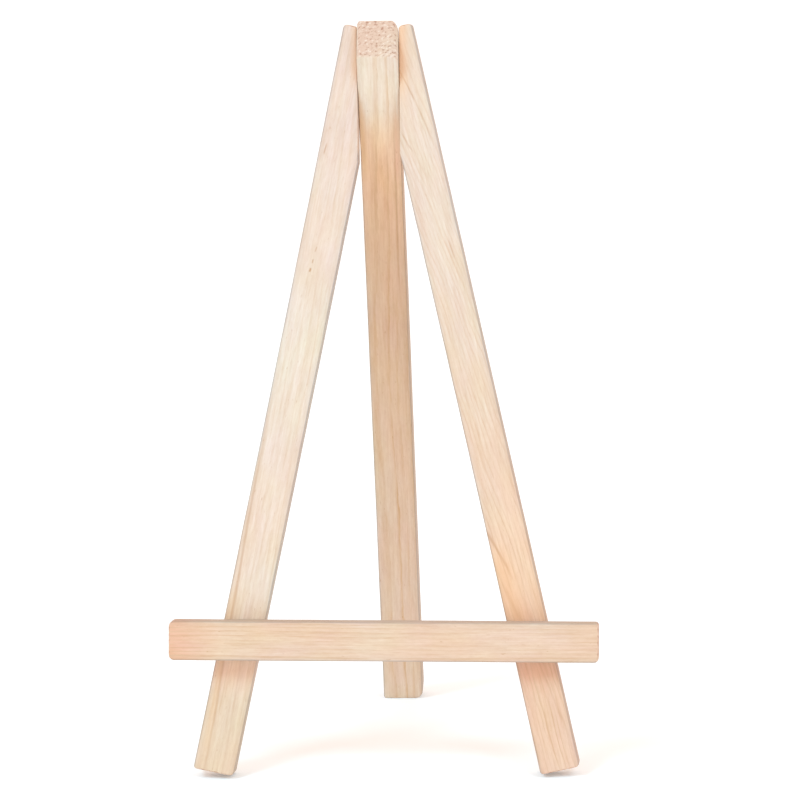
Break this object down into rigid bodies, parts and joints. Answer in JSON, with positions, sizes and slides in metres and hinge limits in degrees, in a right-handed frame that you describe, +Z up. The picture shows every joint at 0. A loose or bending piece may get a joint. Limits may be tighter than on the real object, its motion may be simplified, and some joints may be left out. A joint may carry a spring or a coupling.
{
  "type": "tabletop easel",
  "caption": "Small folding wooden easel: splayed front legs, a ledge across them to hold a canvas, and a rear leg that swings on a pin at the top.",
  "frame": {"origin": "on the tabletop, under the middle of the open easel's bounding box", "axes": "+Z up; +Y towards the rear leg, so the ledge and the canvas face -Y; +X along the ledge, to the right of a person facing the canvas"},
  "size_m": [0.1334, 0.1006, 0.2324],
  "materials": {
    "pine_front_legs": "bare sanded pine, unvarnished",
    "pine_ledge": "bare sanded pine, slightly warmer board",
    "pine_rear_leg": "bare sanded pine",
    "bright_steel": "plain bright steel wire"
  },
  "bodies": {
    "front_frame": {"left_front_leg": "pine_front_legs", "right_front_leg": "pine_front_legs", "ledge": "pine_ledge", "pivot_pin": "bright_steel", "left_upper_brad": "bright_steel", "left_lower_brad": "bright_steel", "right_upper_brad": "bright_steel", "right_lower_brad": "bright_steel"},
    "rear_leg": {"rear_leg": "pine_rear_leg"}
  },
  "joints": [
    {"name": "rear_leg_fold", "type": "hinge", "parent": "front_frame", "child": "rear_leg", "pos_m": [0, -0.0073, 0.21199], "axis": [1, 0, 0], "range_deg": [-24.3, 35.7]}
  ]
}
